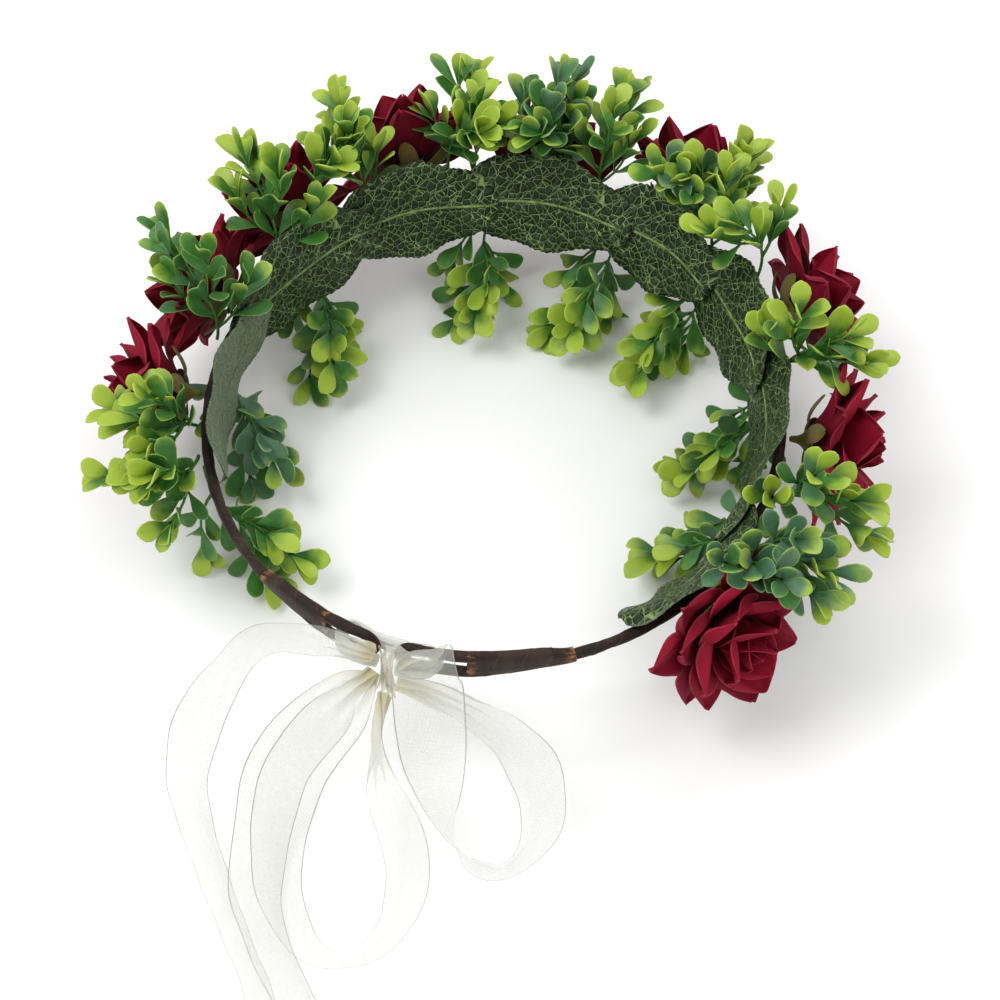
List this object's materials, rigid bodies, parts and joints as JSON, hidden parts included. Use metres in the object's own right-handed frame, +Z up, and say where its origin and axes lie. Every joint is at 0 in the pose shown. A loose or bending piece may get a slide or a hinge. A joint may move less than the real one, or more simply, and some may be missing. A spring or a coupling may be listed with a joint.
{
  "type": "flower crown",
  "caption": "Open wire ring dressed with fabric roses, cloth leaves and plastic boxwood sprigs, laced shut by an organza ribbon bow through its two wire eyes.",
  "frame": {"origin": "centre of the head ring, at the height of its wire", "axes": "+Z up out of the crown as it is worn or laid down, +Y to the middle of the garland, -Y to the ribbon bow, +X to the wearer's side with the large rose"},
  "size_m": [0.2614, 0.3647, 0.085],
  "materials": {
    "floral_wire": "drawn florist's wire, dull",
    "paper_tape": "crepe paper tape, waxy matt dark brown",
    "leaf_cloth": "printed stiffened cloth, dark green with pale net veins",
    "calyx_cloth": "ribbed woven cloth, olive to rust",
    "rose_cloth": "stiffened satin-backed cloth, deep burgundy, matt",
    "sprig_plastic": "soft moulded plastic, teal green at the base to yellow green at the tip, satin",
    "organza_ribbon": "sheer ivory organza with a fine closed edge"
  },
  "bodies": {
    "garland": {"garland_tape": "paper_tape", "garland_wire": "floral_wire", "lining_leaf_1": "leaf_cloth", "lining_leaf_2": "leaf_cloth", "lining_leaf_3": "leaf_cloth", "lining_leaf_4": "leaf_cloth", "lining_leaf_5": "leaf_cloth", "lining_leaf_6": "leaf_cloth", "lining_leaf_7": "leaf_cloth", "lining_leaf_8": "leaf_cloth", "rose_1_calyx": "calyx_cloth", "rose_1_bloom": "rose_cloth", "rose_2_calyx": "calyx_cloth", "rose_2_bloom": "rose_cloth", "rose_3_calyx": "calyx_cloth", "rose_3_bloom": "rose_cloth", "rose_4_calyx": "calyx_cloth", "rose_4_bloom": "rose_cloth", "rose_5_calyx": "calyx_cloth", "rose_5_bloom": "rose_cloth", "rose_6_calyx": "calyx_cloth", "rose_6_bloom": "rose_cloth", "rose_7_calyx": "calyx_cloth", "rose_7_bloom": "rose_cloth", "rose_8_calyx": "calyx_cloth", "rose_8_bloom": "rose_cloth", "rose_9_calyx": "calyx_cloth", "rose_9_bloom": "rose_cloth", "upper_sprig_1": "sprig_plastic", "upper_sprig_2": "sprig_plastic", "upper_sprig_3": "sprig_plastic", "upper_sprig_4": "sprig_plastic", "upper_sprig_5": "sprig_plastic", "upper_sprig_6": "sprig_plastic", "upper_sprig_7": "sprig_plastic", "upper_sprig_8": "sprig_plastic", "upper_sprig_9": "sprig_plastic", "upper_sprig_10": "sprig_plastic", "upper_sprig_11": "sprig_plastic", "upper_sprig_12": "sprig_plastic", "lower_sprig_1": "sprig_plastic", "lower_sprig_2": "sprig_plastic", "lower_sprig_3": "sprig_plastic", "lower_sprig_4": "sprig_plastic", "lower_sprig_5": "sprig_plastic", "lower_sprig_6": "sprig_plastic", "lower_sprig_7": "sprig_plastic", "lower_sprig_8": "sprig_plastic"},
    "left_arm": {"left_arm_wire": "floral_wire", "left_arm_tape": "paper_tape", "left_eye_binding": "paper_tape"},
    "right_arm": {"right_arm_wire": "floral_wire", "right_arm_tape": "paper_tape", "right_eye_binding": "paper_tape"},
    "bow": {"ribbon_knot": "organza_ribbon", "ribbon_lacing": "organza_ribbon", "ribbon_loop_left": "organza_ribbon", "ribbon_loop_right": "organza_ribbon", "ribbon_tail_outer": "organza_ribbon", "ribbon_tail_inner": "organza_ribbon"}
  },
  "joints": [
    {"name": "left_arm_bend", "type": "hinge", "parent": "garland", "child": "left_arm", "pos_m": [-0.07507, -0.0594, 0], "axis": [0, 0, -1], "range_deg": [-2, 8]},
    {"name": "right_arm_bend", "type": "hinge", "parent": "garland", "child": "right_arm", "pos_m": [0.07305, -0.06211, 0], "axis": [0, 0, 1], "range_deg": [-3, 9]},
    {"name": "bow_shift", "type": "slide", "parent": "garland", "child": "bow", "axis": [0, -1, 0], "range_m": [-0.004, 0.012]}
  ],
  "couplings": [
    {"joint": "right_arm_bend", "follows": "left_arm_bend", "ratio": 1},
    {"joint": "bow_shift", "follows": "left_arm_bend", "m_per_rad": 0.066}
  ]
}
